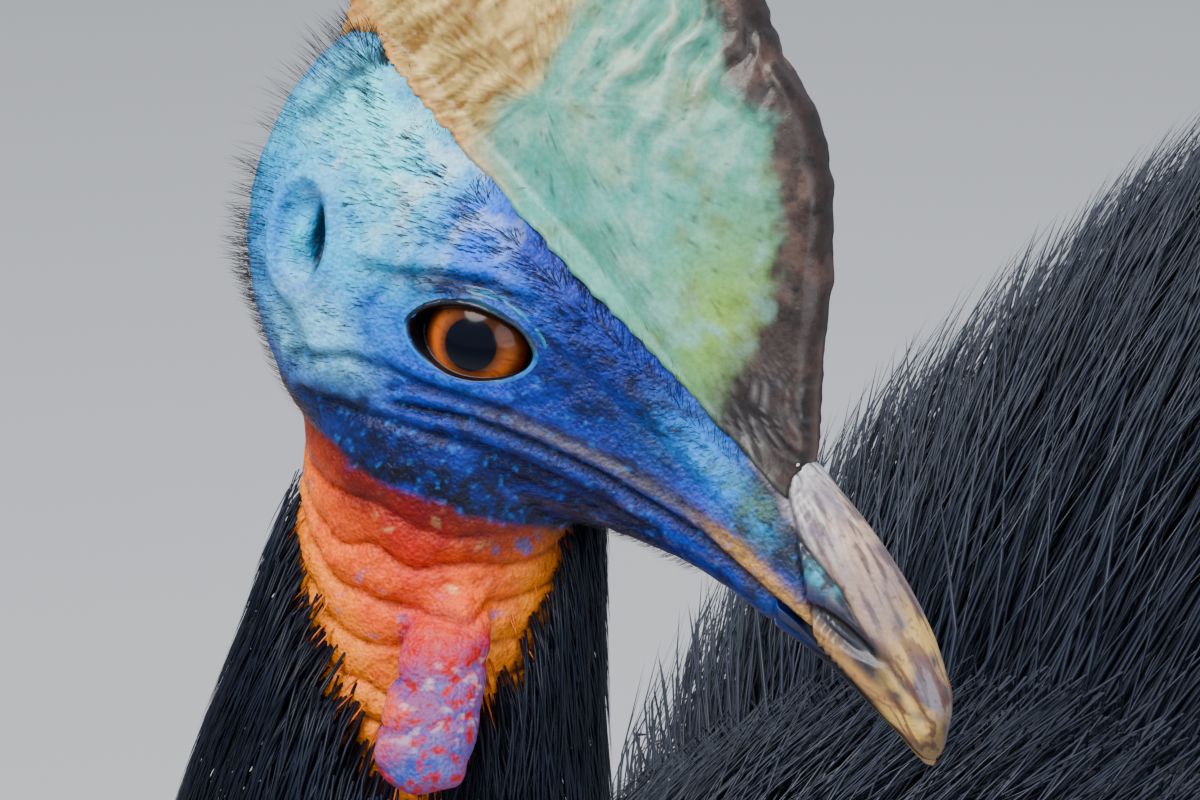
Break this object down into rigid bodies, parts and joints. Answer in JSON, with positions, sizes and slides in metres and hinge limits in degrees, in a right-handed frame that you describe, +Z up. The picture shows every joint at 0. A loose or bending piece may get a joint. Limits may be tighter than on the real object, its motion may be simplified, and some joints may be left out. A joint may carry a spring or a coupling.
{
  "type": "northern cassowary",
  "caption": "Life-size standing cassowary with casque, bare blue head, red and orange neck skin with a wattle, and black plumage.",
  "frame": {"origin": "middle of the model's bounding box, on the ground plane", "axes": "+Z up, the bird faces -Y and its left side is +X"},
  "size_m": [0.505, 1.1752, 1.3092],
  "materials": {
    "skin": "bare blue skin, fine pores, satin",
    "neck_skin": "bare red and orange skin in soft folds, satin",
    "wattle": "mottled blue and red skin, satin",
    "casque": "grey-green horn with brown keel, satin",
    "bill": "streaked grey and cream horn, satin",
    "eye": "wet amber iris and dark pupil, glossy",
    "plumage": "black hair-like feathers with a blue-grey sheen",
    "scutes": "grey-brown scaled skin, satin",
    "claw": "dark horn, satin"
  },
  "bodies": {
    "root": {"bill_lower": "bill", "bill_upper": "bill", "casque": "casque", "claw_inner_left": "claw", "claw_inner_right": "claw", "claw_middle_left": "claw", "claw_middle_right": "claw", "claw_outer_left": "claw", "claw_outer_right": "claw", "eye_left": "eye", "eye_right": "eye", "foot_left": "scutes", "foot_right": "scutes", "head": "skin", "jaw": "skin", "neck_bare": "neck_skin", "neck_lower": "plumage", "neck_upper": "plumage", "shank_left": "scutes", "shank_right": "scutes", "thigh_left": "plumage", "thigh_right": "plumage", "torso": "plumage", "wattle": "wattle", "wing_left": "plumage", "wing_right": "plumage"}
  },
  "joints": []
}
